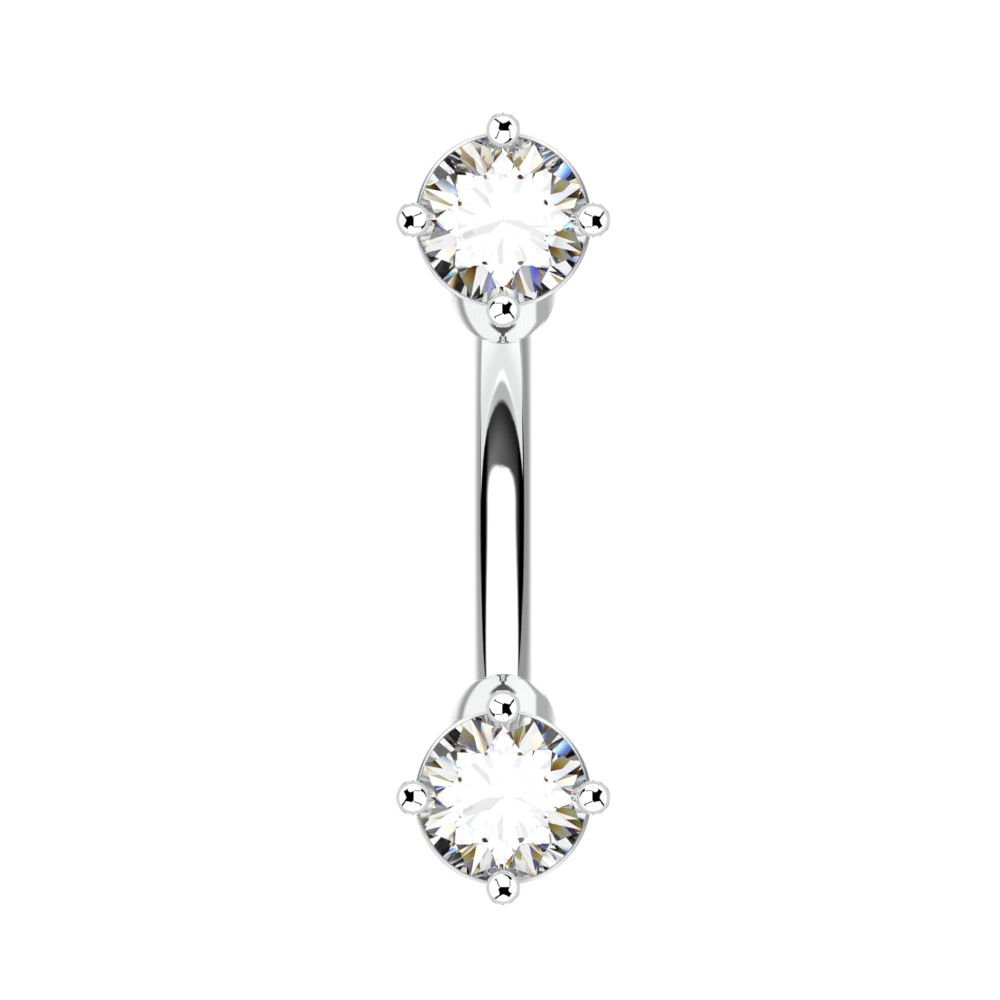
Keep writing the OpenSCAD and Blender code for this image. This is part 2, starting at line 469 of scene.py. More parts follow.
def ramp(tree, value, low, high, fromValue=0, toValue=1):
    node = tree.nodes.new("ShaderNodeMapRange")
    node.interpolation_type = "SMOOTHSTEP"
    for name, number in (("Value", value), ("From Min", low), ("From Max", high), ("To Min", fromValue),
                         ("To Max", toValue)):
        link(tree, number, node.inputs[name])
    return node.outputs[0]


def blend(tree, share, first, second):
    node = tree.nodes.new("ShaderNodeMix")
    link(tree, share, node.inputs[0])
    link(tree, first, node.inputs[2])
    link(tree, second, node.inputs[3])
    return node.outputs[0]


def noise(tree, coordinates, scale, detail, stretch=(1, 1, 1), turn=(0, 0, 0)):
    mapping = tree.nodes.new("ShaderNodeMapping")
    mapping.inputs["Scale"].default_value = stretch
    mapping.inputs["Rotation"].default_value = turn
    tree.links.new(coordinates, mapping.inputs["Vector"])
    node = tree.nodes.new("ShaderNodeTexNoise")
    node.inputs["Scale"].default_value = scale
    node.inputs["Detail"].default_value = detail
    tree.links.new(mapping.outputs[0], node.inputs["Vector"])
    return node.outputs["Factor"] if "Factor" in node.outputs else node.outputs["Fac"]


# Fine marks of wear that steel and crystal share, sizes in mm
wear = {"hazeSize": 0.6, "hairSize": 0.035, "hairLength": 9, "rippleSize": 0.25,
        "hairTurns": ((0.3, 0.1, 0), (0.2, 0.5, 0.6), (1.1, 0.2, 1.9))}


def surfaceWear():
    group = bpy.data.node_groups.new("surfaceWear", "ShaderNodeTree")
    group.interface.new_socket("Coordinates", in_out="INPUT", socket_type="NodeSocketVector")
    group.interface.new_socket("Haze", in_out="OUTPUT", socket_type="NodeSocketFloat")
    group.interface.new_socket("Hairlines", in_out="OUTPUT", socket_type="NodeSocketFloat")
    group.interface.new_socket("Ripple", in_out="OUTPUT", socket_type="NodeSocketFloat")
    start = group.nodes.new("NodeGroupInput")
    end = group.nodes.new("NodeGroupOutput")
    coordinates = start.outputs["Coordinates"]
    haze = ramp(group, noise(group, coordinates, 1 / (wear["hazeSize"] * mm), 4), 0.35, 0.75)
    across = 1 / wear["hairLength"]
    lines = []
    for turn in wear["hairTurns"]:
        fine = noise(group, coordinates, 1 / (wear["hairSize"] * mm), 2, (across, 1, 1), turn)
        lines.append(ramp(group, fine, 0.66, 0.72))
    hairlines = calc(group, "MAXIMUM", calc(group, "MAXIMUM", lines[0], lines[1]), lines[2])
    patches = ramp(group, noise(group, coordinates, 1 / (2 * wear["hazeSize"] * mm), 2), 0.5, 0.6)
    group.links.new(haze, end.inputs["Haze"])
    group.links.new(calc(group, "MULTIPLY", hairlines, patches), end.inputs["Hairlines"])
    group.links.new(noise(group, coordinates, 1 / (wear["rippleSize"] * mm), 3), end.inputs["Ripple"])
    return group


wearGroup = surfaceWear()


def addWear(tree):
    node = tree.nodes.new("ShaderNodeGroup")
    node.node_tree = wearGroup
    tree.links.new(tree.nodes.new("ShaderNodeTexCoord").outputs["Object"], node.inputs["Coordinates"])
    return node.outputs


# Steel
steel = {"color": (0.93, 0.935, 0.94, 1), "hazeShade": 0.985, "hairDepth": 0.03, "rippleDepth": 0.02}


def steelMaterial(name, low, high, hairRoughness, ripple):
    material, tree, output = newMaterial(name)
    shader = tree.nodes.new("ShaderNodeBsdfPrincipled")
    marks = addWear(tree)
    shader.inputs["Metallic"].default_value = 1
    tint = tree.nodes.new("ShaderNodeMix")
    tint.data_type = "RGBA"
    tint.inputs[6].default_value = steel["color"]
    tint.inputs[7].default_value = tuple(steel["hazeShade"] * part for part in steel["color"][:3]) + (1,)
    tree.links.new(marks["Haze"], tint.inputs[0])
    tree.links.new(tint.outputs[2], shader.inputs["Base Color"])
    rough = ramp(tree, marks["Haze"], 0, 1, low, high)
    rough = calc(tree, "ADD", rough, calc(tree, "MULTIPLY", marks["Hairlines"], hairRoughness))
    tree.links.new(rough, shader.inputs["Roughness"])
    bump = tree.nodes.new("ShaderNodeBump")
    bump.inputs["Strength"].default_value = ripple
    bump.inputs["Distance"].default_value = steel["rippleDepth"] * mm
    hairlines = calc(tree, "MULTIPLY", marks["Hairlines"], steel["hairDepth"])
    height = calc(tree, "SUBTRACT", marks["Ripple"], hairlines)
    tree.links.new(height, bump.inputs["Height"])
    tree.links.new(bump.outputs[0], shader.inputs["Normal"])
    tree.links.new(shader.outputs["BSDF"], output.inputs["Surface"])
    return material


# Crystal
crystal = {"ior": 2.16, "shine": (0.03, 0.03, 0.03, 1), "tint": (0.985, 0.992, 1, 1), "polish": 0.012,
           "scratch": 0.05}


def crystalMaterial():
    material, tree, output = newMaterial("clearCrystal")
    marks = addWear(tree)
    inside = tree.nodes.new("ShaderNodeNewGeometry").outputs["Backfacing"]
    mirror = tree.nodes.new("ShaderNodeBsdfGlossy")
    shine = tree.nodes.new("ShaderNodeMix")
    shine.data_type = "RGBA"
    shine.inputs[6].default_value = crystal["shine"]
    shine.inputs[7].default_value = (1, 1, 1, 1)
    tree.links.new(inside, shine.inputs[0])
    tree.links.new(shine.outputs[2], mirror.inputs["Color"])
    # the polish varies a little from place to place, with a few fine scratches on the outside
    rough = calc(tree, "MULTIPLY_ADD", marks["Hairlines"], crystal["scratch"],
                 calc(tree, "MULTIPLY", marks["Haze"], crystal["polish"]))
    rough = calc(tree, "MULTIPLY", rough, calc(tree, "SUBTRACT", 1, inside))
    tree.links.new(rough, mirror.inputs["Roughness"])
    refract = tree.nodes.new("ShaderNodeBsdfRefraction")
    refract.inputs["Roughness"].default_value = 0
    refract.inputs["IOR"].default_value = crystal["ior"]
    tint = tree.nodes.new("ShaderNodeMix")
    tint.data_type = "RGBA"
    tint.inputs[6].default_value = (1, 1, 1, 1)
    tint.inputs[7].default_value = crystal["tint"]
    tree.links.new(marks["Haze"], tint.inputs[0])
    tree.links.new(tint.outputs[2], refract.inputs["Color"])
    fresnel = tree.nodes.new("ShaderNodeFresnel")
    fresnel.inputs["IOR"].default_value = crystal["ior"]
    mix = tree.nodes.new("ShaderNodeMixShader")
    tree.links.new(fresnel.outputs[0], mix.inputs[0])
    tree.links.new(refract.outputs[0], mix.inputs[1])
    tree.links.new(mirror.outputs[0], mix.inputs[2])
    tree.links.new(mix.outputs[0], output.inputs["Surface"])
    return material


polished = steelMaterial("polishedSteel", low=0.015, high=0.05, hairRoughness=0.015, ripple=0.03)
satin = steelMaterial("satinSteel", low=0.26, high=0.36, hairRoughness=0.05, ripple=0.1)
crystalSurface = crystalMaterial()

for piece, surfaces in (
    (barPiece, (polished,)),
    (settingModel, (polished, satin)),
    (stoneModel, (crystalSurface,)),
):
    piece.data.materials.clear()
    for surface in surfaces:
        piece.data.materials.append(surface)
touch = 0.002
for face in settingModel.data.polygons:
    onBead = min((face.center - middle).length for middle in beadMiddles) < setting["beadRadius"] + touch
    onBall = (face.center - ballMiddle).length < barbell["ballRadius"] + touch
    face.material_index = 0 if onBead or onBall else 1

upperSetting = atEnd(settingModel, "upperBasket", 1, False)
lowerSetting = atEnd(settingModel, "lowerBasket", -1, True)
upperStone = atEnd(stoneModel, "upperCrystal", 1, False)
lowerStone = atEnd(stoneModel, "lowerCrystal", -1, False)
bpy.data.objects.remove(settingModel)
bpy.data.objects.remove(stoneModel)

for piece, body, node in (
    (barPiece, "bar", "bar"),
    (upperSetting, "upper_end", "upper_setting"),
    (lowerSetting, "lower_end", "lower_setting"),
    (upperStone, "upper_end", "upper_stone"),
    (lowerStone, "lower_end", "lower_stone"),
):
    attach(piece, body)
    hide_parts(node)
print("surfaces made")

# Camera
# pixelsPerMm, middleRight and middleBelow give the picture's scale and where its middle is
camera = {"distance": 1.0, "sensor": 36, "frame": 1000, "pixelsPerMm": 48.2, "middleRight": 3,
          "middleBelow": 8.8}
cameraData = bpy.data.cameras.new("camera")
cameraObject = bpy.data.objects.new("camera", cameraData)
bpy.context.collection.objects.link(cameraObject)
cameraData.sensor_width = camera["sensor"]
cameraData.lens = camera["sensor"] * camera["distance"] / (camera["frame"] / camera["pixelsPerMm"] * mm)
cameraData.clip_start = 0.01
cameraData.clip_end = 10
pixel = mm / camera["pixelsPerMm"]
aim = girdleMiddle - pictureRight * camera["middleRight"] * pixel + pictureUp * camera["middleBelow"] * pixel
cameraObject.matrix_world = Matrix.Translation(aim + towardsViewer * camera["distance"]) @ uprightTurn
bpy.context.scene.camera = cameraObject

# Floor
floorLook = {"glow": 0.97, "paint": 0.05}
bpy.ops.mesh.primitive_plane_add(size=4, location=(0, 0, 0))
floor = newest("floor")
floorMaterial, tree, output = newMaterial("paleFloor")
paint = tree.nodes.new("ShaderNodeBsdfDiffuse")
paint.inputs["Color"].default_value = (floorLook["paint"],) * 3 + (1,)
glow = tree.nodes.new("ShaderNodeEmission")
glow.inputs["Strength"].default_value = floorLook["glow"]
both = tree.nodes.new("ShaderNodeAddShader")
tree.links.new(paint.outputs[0], both.inputs[0])
tree.links.new(glow.outputs[0], both.inputs[1])
tree.links.new(both.outputs[0], output.inputs["Surface"])
floor.data.materials.append(floorMaterial)
floor.visible_glossy = False
floor.visible_transmission = False

# Studio light
# Tones are display greys, 0 to 1, that polished steel shows where it mirrors that part of the
# studio, and angles are degrees. Four numbers are a soft change: from where, to where, and the
# value before and after it. Two numbers are a soft edge.
studio = {
    "floorLight": 1.15, "white": 1.04, "mirrorLoss": 0.967, "turn": 3,
    # pale stripe, grey band and dark arch over a light floor: how low each hangs in front of the
    # viewer, and how fast it rises to the sides
    "stripeLow": -57, "stripeTop": -52, "darkLow": -43.5, "archRise": 0.9,
    "archEdge": (-1.5, 1.5), "floorTone": (-34, -8, 0.98, 0.89), "stripeTone": (25, 50, 1, 0.94),
    "bandTone": (20, 90, 0.7, 0.86), "darkTone": (-60, 70, 0.45, 0.25), "darkLift": (0, 20, 0.5, 1),
    "flagFrom": (57, 79, 1, 0.02),
    # white softbox with a round lower end, which leans over the object
    "boxHalf": 62, "boxRound": 15.5, "boxFrom": -2, "boxLean": (0, 90, 0, 80), "boxRise": (-19, -15),
    "boxAside": 3.5, "boxEdge": (-6, 11),
    # grey walls beyond the black flags, lighter towards the back; next to a flag their lower part is
    # paler and their middle darker
    "leftEnd": (-30, -10, 108, 98), "rightEnd": (-30, -16, 100, 93), "flagEdge": (-2, 2.5),
    "leftWall": (113, 150, 0.64, 0.93), "rightWall": (115, 165, 0.58, 0.93), "besideFlag": (0, 10, 1, 0),
    "paleLow": (-18, -8, 0.25, -0.28), "evenHigh": (4, 14, 0, 0.28),
    "seamRise": (-3.5, 0), "seamFall": (1.5, 6, 1, 0), "seamTone": (12, 25, 0.01, 0.7),
    # what only the balls mirror, by the place on a disc of radius 1: a thin line on the left, a wall
    # on the right, both bowed with the ball, and a dark patch below the bead
    "ballSlope": (0.68, 0.75), "ballBow": 0.92, "ballSide": 0.81, "wallAcross": 0.66,
    "lineRise": (-0.13, 0), "lineFall": (0, 0.08, 1, 0), "lineTone": 0.6, "ballWhite": 0.95,
    "wallEdge": (-0.07, 0, 0.97, 0.67), "wallPast": (0.15, 0.35, 0, 0.23), "ballMiddle": (0.2, 0.3),
    "rimTone": 0.96, "rimFrom": (0.9, 0.95), "rimAway": (0.5, 0.68), "rimAcross": (0.02, 0.05),
    "streaks": (75, 0.006),   # fine pale streaks across the ball: how close, how strong
    "shadeTone": 0.74, "shadeAt": -0.215, "shadeWidth": (0.015, 0.045, 1, 0), "shadeAway": (0.6, 0.66, 1, 0),
    "patchTone": 0.34, "patchWidth": (0.62, 0.88, 0.25, 0.03), "patchEdge": (-0.04, 0.05),
    "patchFrom": (0.58, 0.7),
}


def dotWith(tree, direction, vector):
    node = tree.nodes.new("ShaderNodeVectorMath")
    node.operation = "DOT_PRODUCT"
    tree.links.new(direction, node.inputs[0])
    node.inputs[1].default_value = vector
    return node.outputs["Value"]


def steelStudio(tree, direction):
    s = studio
    right = dotWith(tree, direction, pictureRight)
    up = dotWith(tree, direction, pictureUp)
    front = dotWith(tree, direction, towardsViewer)
    azimuth = calc(tree, "MULTIPLY_ADD", calc(tree, "ARCTAN2", right, front), inDegrees, s["turn"])
    height = calc(tree, "MULTIPLY", calc(tree, "ARCSINE", up), inDegrees)
    side = calc(tree, "ABSOLUTE", azimuth)
    # light floor, pale stripe, grey band and dark arch, one above the other
    rise = calc(tree, "COSINE", calc(tree, "MULTIPLY", side, s["archRise"] / inDegrees))
    overStripe, overBand, overDark = (
        calc(tree, "SUBTRACT", height, calc(tree, "MULTIPLY", rise, s[name]))
        for name in ("stripeLow", "stripeTop", "darkLow"))
    dark = calc(tree, "MULTIPLY", ramp(tree, azimuth, *s["darkTone"]), ramp(tree, overDark, *s["darkLift"]))
    flags = calc(tree, "ABSOLUTE", calc(tree, "SUBTRACT", azimuth, s["turn"]))
    dark = calc(tree, "MULTIPLY", dark, ramp(tree, flags, *s["flagFrom"]))
    tone = ramp(tree, overStripe, *s["floorTone"])
    tone = blend(tree, ramp(tree, overStripe, *s["archEdge"]), tone, ramp(tree, side, *s["stripeTone"]))
    tone = blend(tree, ramp(tree, overBand, *s["archEdge"]), tone, ramp(tree, side, *s["bandTone"]))
    tone = blend(tree, ramp(tree, overDark, *s["archEdge"]), tone, dark)
    # white softbox in front
    below = calc(tree, "MAXIMUM", 0, calc(tree, "SUBTRACT", s["boxFrom"], height))
    below = calc(tree, "DIVIDE", below, s["boxRound"])
    rounded = calc(tree, "SUBTRACT", 1, calc(tree, "MULTIPLY", below, below))
    rounded = calc(tree, "SQRT", calc(tree, "MAXIMUM", 0, rounded))
    halfWidth = calc(tree, "MULTIPLY_ADD", rounded, s["boxHalf"], ramp(tree, height, *s["boxLean"]))
    aside = calc(tree, "ABSOLUTE", calc(tree, "ADD", azimuth, s["boxAside"]))
    inBox = ramp(tree, calc(tree, "SUBTRACT", halfWidth, aside), *s["boxEdge"])
    tone = blend(tree, calc(tree, "MULTIPLY", inBox, ramp(tree, height, *s["boxRise"])), tone, s["white"])
    # walls beyond the flags
    beside = calc(tree, "ADD", ramp(tree, height, *s["paleLow"]), ramp(tree, height, *s["evenHigh"]))
    walls, edges = [], []
    for hand, turned in (("left", calc(tree, "MULTIPLY", azimuth, -1)), ("right", azimuth)):
        past = calc(tree, "SUBTRACT", turned, ramp(tree, height, *s[hand + "End"]))
        wall = ramp(tree, side, *s[hand + "Wall"])
        walls.append(calc(tree, "MULTIPLY_ADD", beside, ramp(tree, past, *s["besideFlag"]), wall))
        edges.append(past)
    behind = blend(tree, ramp(tree, azimuth, -1, 1), *walls)
    past = ramp(tree, calc(tree, "MAXIMUM", *edges), *s["flagEdge"])
    tone = blend(tree, past, tone, behind)
    # dark seam at the right flag's edge
    seam = calc(tree, "MULTIPLY", ramp(tree, edges[1], *s["seamRise"]), ramp(tree, edges[1], *s["seamFall"]))
    seamTone = ramp(tree, calc(tree, "ABSOLUTE", height), *s["seamTone"])
    tone = blend(tree, seam, tone, calc(tree, "MINIMUM", tone, seamTone))
    # what only the balls mirror: steeply above and below
    shrink = calc(tree, "SQRT", calc(tree, "MULTIPLY_ADD", front, 2, 2.0002))
    slope = calc(tree, "DIVIDE", calc(tree, "ABSOLUTE", up), calc(tree, "ADD", front, 1.0001))
    ball = ballTone(tree, calc(tree, "DIVIDE", right, shrink), calc(tree, "DIVIDE", up, shrink))
    return toneLight(tree, blend(tree, ramp(tree, slope, *s["ballSlope"]), tone, ball))


def ballMirrorGroup():
    # what a ball shows at a place of its disc, as seen by the viewer
    s = studio
    group = bpy.data.node_groups.new("ballMirror", "ShaderNodeTree")
    group.interface.new_socket("Across", in_out="INPUT", socket_type="NodeSocketFloat")
    group.interface.new_socket("Away", in_out="INPUT", socket_type="NodeSocketFloat")
    group.interface.new_socket("Tone", in_out="OUTPUT", socket_type="NodeSocketFloat")
    start = group.nodes.new("NodeGroupInput")
    end = group.nodes.new("NodeGroupOutput")
    across = start.outputs["Across"]
    away = calc(group, "ABSOLUTE", start.outputs["Away"])
    bow = calc(group, "MULTIPLY_ADD", calc(group, "MULTIPLY", away, away), -s["ballBow"], 1)
    bow = calc(group, "SQRT", bow)
    fromLeft = calc(group, "MULTIPLY_ADD", bow, s["ballSide"], across)
    wallPlace = calc(group, "MINIMUM", s["wallAcross"], calc(group, "MULTIPLY", bow, s["ballSide"]))
    fromRight = calc(group, "SUBTRACT", across, wallPlace)
    line = calc(group, "MULTIPLY", ramp(group, fromLeft, *s["lineRise"]), ramp(group, fromLeft, *s["lineFall"]))
    tone = blend(group, line, s["ballWhite"], s["lineTone"])
    wall = calc(group, "ADD", ramp(group, fromRight, *s["wallEdge"]), ramp(group, fromRight, *s["wallPast"]))
    outwards = calc(group, "MULTIPLY_ADD", across, across, calc(group, "MULTIPLY", away, away))
    rim = calc(group, "MULTIPLY", ramp(group, outwards, *s["rimFrom"]), ramp(group, away, *s["rimAway"]))
    rim = calc(group, "MULTIPLY", rim, ramp(group, fromRight, *s["rimAcross"]))
    wall = blend(group, rim, wall, s["rimTone"])
    tone = blend(group, ramp(group, across, *s["ballMiddle"]), tone, wall)
    closeness, strength = s["streaks"]
    streaks = calc(group, "SINE", calc(group, "MULTIPLY", across, closeness))
    tone = calc(group, "MULTIPLY_ADD", streaks, strength, tone)
    shade = calc(group, "ABSOLUTE", calc(group, "SUBTRACT", across, s["shadeAt"]))
    shade = calc(group, "MULTIPLY", ramp(group, shade, *s["shadeWidth"]), ramp(group, away, *s["shadeAway"]))
    tone = blend(group, shade, tone, s["shadeTone"])
    inPatch = calc(group, "SUBTRACT", ramp(group, away, *s["patchWidth"]), calc(group, "ABSOLUTE", across))
    inPatch = calc(group, "MULTIPLY", ramp(group, inPatch, *s["patchEdge"]), ramp(group, away, *s["patchFrom"]))
    group.links.new(blend(group, inPatch, tone, s["patchTone"]), end.inputs["Tone"])
    return group


ballMirror = ballMirrorGroup()


def ballTone(tree, across, away):
    node = tree.nodes.new("ShaderNodeGroup")
    node.node_tree = ballMirror
    tree.links.new(across, node.inputs["Across"])
    tree.links.new(away, node.inputs["Away"])
    return node.outputs["Tone"]


def toneLight(tree, tone):
    light = tree.nodes.new("ShaderNodeGamma")
    light.inputs["Gamma"].default_value = 2.2
    tree.links.new(calc(tree, "DIVIDE", tone, studio["mirrorLoss"]), light.inputs["Color"])
    return light.outputs[0]


def makeStudio():
    world = bpy.data.worlds.new("studio")
    bpy.context.scene.world = world
    world.use_nodes = True
    world.cycles.sampling_method = "NONE"
    tree = world.node_tree
    tree.nodes.clear()
    output = tree.nodes.new("ShaderNodeOutputWorld")
    direction = tree.nodes.new("ShaderNodeTexCoord").outputs["Generated"]
    light = tree.nodes.new("ShaderNodeLightPath")
    mix = tree.nodes.new("ShaderNodeMix")
    mix.data_type = "RGBA"
    tree.links.new(light.outputs["Is Glossy Ray"], mix.inputs[0])
    mix.inputs[6].default_value = (studio["floorLight"],) * 3 + (1,)
    tree.links.new(steelStudio(tree, direction), mix.inputs[7])
    background = tree.nodes.new("ShaderNodeBackground")
    tree.links.new(mix.outputs[2], background.inputs["Color"])
    tree.links.new(background.outputs[0], output.inputs["Surface"])


makeStudio()

# Light tents round the stones, seen only through them: a white front, and dark stripes round it
# that the rim's facets break up into shards, with a fringe of colour
sparkle = {
    "radius": 6.5,            # of each tent, in mm
    # the stripes are a sum of waves round the stone, each with more crests than the one before and
    # leaning the other way
    "waves": 5, "crests": 11, "moreCrests": 2, "strength": 0.65, "lean": 6, "apart": 137.5,
    "level": -0.3, "soft": 0.2, "cone": 46, "coneSoft": 2, "white": 1.2, "dark": 0.004,
    "fringe": (-1.1, -0.4, 1.2),                   # how far red, green and blue lie outwards
    "wedges": ((14, 27, 0.22), (142, 26, 0.19)),   # pale grey parts of the front: azimuth, width, depth
    "wedgeSoft": 0.01, "wedgeEnd": (0.75, 0.85),
}


def sparkleGroup():
    group = bpy.data.node_groups.new("sparkleStripes", "ShaderNodeTree")
    group.interface.new_socket("Azimuth", in_out="INPUT", socket_type="NodeSocketFloat")
    group.interface.new_socket("Spread", in_out="INPUT", socket_type="NodeSocketFloat")
    group.interface.new_socket("Light", in_out="OUTPUT", socket_type="NodeSocketFloat")
    start = group.nodes.new("NodeGroupInput")
    end = group.nodes.new("NodeGroupOutput")
    azimuth, spread = start.outputs["Azimuth"], start.outputs["Spread"]
    total = 0.0
    for index in range(sparkle["waves"]):
        crests = sparkle["crests"] + index * sparkle["moreCrests"]
        leaning = calc(group, "MULTIPLY_ADD", spread, sparkle["lean"] * (-1) ** index, index * sparkle["apart"])
        turned = calc(group, "MULTIPLY_ADD", azimuth, crests, leaning)
        wave = calc(group, "SINE", calc(group, "MULTIPLY", turned, 1 / inDegrees))
        total = calc(group, "MULTIPLY_ADD", wave, sparkle["strength"], total)
    dark = ramp(group, total, sparkle["level"] - sparkle["soft"], sparkle["level"] + sparkle["soft"])
    inFront, beyond = sparkle["cone"] - sparkle["coneSoft"], sparkle["cone"] + sparkle["coneSoft"]
    dark = calc(group, "MULTIPLY", dark, ramp(group, spread, inFront, beyond))
    fade = 0.0
    for middle, width, depth in sparkle["wedges"]:
        facing = calc(group, "MULTIPLY_ADD", azimuth, 1 / inDegrees, -math.radians(middle))
        facing = calc(group, "COSINE", facing)
        edge = math.cos(math.radians(width / 2))
        wedge = ramp(group, facing, edge - sparkle["wedgeSoft"], edge + sparkle["wedgeSoft"], 0, depth)
        fade = calc(group, "MAXIMUM", wedge, fade)
    fadeFrom, fadeTo = (sparkle["cone"] * share for share in sparkle["wedgeEnd"])
    fade = calc(group, "MULTIPLY", fade, ramp(group, spread, fadeFrom, fadeTo, 1, 0))
    white = calc(group, "MULTIPLY", calc(group, "SUBTRACT", 1, fade), sparkle["white"])
    group.links.new(blend(group, dark, white, sparkle["dark"]), end.inputs["Light"])
    return group


def sparkleMaterial():
    material, tree, output = newMaterial("sparkleTent")
    group = sparkleGroup()
    place = tree.nodes.new("ShaderNodeSeparateXYZ")
    tree.links.new(tree.nodes.new("ShaderNodeTexCoord").outputs["Object"], place.inputs[0])
    spread = calc(tree, "MULTIPLY", calc(tree, "ARCCOSINE", place.outputs["Z"]), inDegrees)
    azimuth = calc(tree, "MULTIPLY", calc(tree, "ARCTAN2", place.outputs["Y"], place.outputs["X"]), inDegrees)
    colors = tree.nodes.new("ShaderNodeCombineColor")
    for index, outwards in enumerate(sparkle["fringe"]):
        stripes = tree.nodes.new("ShaderNodeGroup")
        stripes.node_tree = group
        tree.links.new(azimuth, stripes.inputs["Azimuth"])
        tree.links.new(calc(tree, "ADD", spread, outwards), stripes.inputs["Spread"])
        tree.links.new(stripes.outputs["Light"], colors.inputs[index])
    light = tree.nodes.new("ShaderNodeEmission")
    tree.links.new(colors.outputs[0], light.inputs["Color"])
    clear = tree.nodes.new("ShaderNodeBsdfTransparent")
    mix = tree.nodes.new("ShaderNodeMixShader")
    tree.links.new(tree.nodes.new("ShaderNodeNewGeometry").outputs["Backfacing"], mix.inputs[0])
    tree.links.new(clear.outputs[0], mix.inputs[1])
    tree.links.new(light.outputs[0], mix.inputs[2])
    tree.links.new(mix.outputs[0], output.inputs["Surface"])
    return material


tentSurface = sparkleMaterial()
for side in (1, -1):
    bpy.ops.mesh.primitive_uv_sphere_add(segments=128, ring_count=64, radius=1)
    tent = newest("sparkleTent" + ("Upper" if side > 0 else "Lower"))
    tent.matrix_world = (layDown @ Matrix.Translation((0, side * stoneHeight, 0))
                         @ Matrix.Scale(sparkle["radius"], 4))
    tent.data.materials.append(tentSurface)
    tent.visible_camera = False
    tent.visible_diffuse = False
    tent.visible_glossy = False
    tent.visible_shadow = False

# Light tents round the beads, seen only in them: white, with the dark gaps of the room
beadTent = {
    "radius": 0.62, "reach": 0.94, "disc": 0.80, "steps": 72, "rings": 24, "gapStep": 0.05, "gapDrop": 0.02,
    "white": 1.1, "black": 0.0, "halo": 0.7, "grey": 0.2, "card": 0.1,
    "cardDrop": 2.9,          # a dark card beyond the ball, seen in it beside the bead
    "cardOutline": ((-0.22, -0.98), (0.22, -0.98), (0.24, -1.15), (0.16, -1.3), (0.07, -1.42), (0.045, -1.62),
                    (-0.045, -1.62), (-0.07, -1.42), (-0.16, -1.3), (-0.24, -1.15)),
    "ballTent": 1.6, "ballFrom": 0.12, "ballTo": 0.62, "ballReach": 0.97, "ballCells": 36, "ballRows": 16,
    "gaps": (
        ("black", ((-0.52, 0.6), (-0.4, 0.65), (-0.2, 0.5), (0, 0.38), (0.2, 0.45), (0.35, 0.55), (0.56, 0.26),
                   (0.44, 0.3), (0.35, 0.22), (0.32, 0.12), (0.4, -0.05), (-0.17, -0.05), (-0.28, 0.1),
                   (-0.22, 0.22), (-0.2, 0.38), (-0.33, 0.47))),
        ("black", ((-0.24, -0.04), (-0.18, -0.04), (-0.28, -0.3), (-0.34, -0.46), (-0.4, -0.46),
                   (-0.35, -0.3))),
        ("black", ((-0.52, -0.41), (-0.36, -0.43), (-0.38, -0.55))),
        ("grey", ((0.38, -0.06), (0.43, -0.06), (0.42, -0.43), (0.36, -0.43))),
        ("black", ((0.55, -0.47), (0.37, -0.46), (0.29, -0.61), (0.06, -0.74), (-0.03, -0.76), (0.1, -0.78),
                   (0.33, -0.7), (0.48, -0.58))),
        ("grey", ((0.66, 0.30), (0.70, 0.29), (0.68, 0.36))),
        ("grey", ((0.64, 0.01), (0.70, 0.0), (0.68, 0.06))),
    ),
}


def tentPoint(u, v, radius, size):
    # where the viewer's line to this spot of the disc of a bead or ball goes on to, once mirrored
    facing = math.sqrt(max(0.0, 1 - u * u - v * v))
    normal = Vector((u, v, facing))
    way = normal * 2 * facing - Vector((0, 0, 1))
    length = -size * facing + math.sqrt(radius ** 2 - size ** 2 * (1 - facing ** 2))
    return normal * size + way * length


def tentParts():
    # the tent as faces on the disc, each with the name of its tone
    parts = []
    rings = [beadTent["reach"] * (index + 1) / beadTent["rings"] for index in range(beadTent["rings"])]
    steps = beadTent["steps"]

    def spot(ring, index):
        angle = 2 * math.pi * index / steps
        return (ring * math.cos(angle), ring * math.sin(angle))

    for index in range(steps):
        parts.append(("white", [(0, 0), spot(rings[0], index), spot(rings[0], index + 1)], 0))
    for inner, outer in zip(rings, rings[1:]):
        tone = "white" if (inner + outer) / 2 < beadTent["disc"] else "halo"
        for index in range(steps):
            parts.append((tone, [spot(inner, index), spot(outer, index), spot(outer, index + 1),
                                 spot(inner, index + 1)], 0))
    for tone, corners in beadTent["gaps"]:
        outline = []
        for (u1, v1), (u2, v2) in zip(corners, corners[1:] + corners[:1]):
            pieces = max(1, int(math.hypot(u2 - u1, v2 - v1) / beadTent["gapStep"]))
            outline += [(u1 + (u2 - u1) * k / pieces, v1 + (v2 - v1) * k / pieces) for k in range(pieces)]
        parts.append((tone, outline, beadTent["gapDrop"]))
    return parts


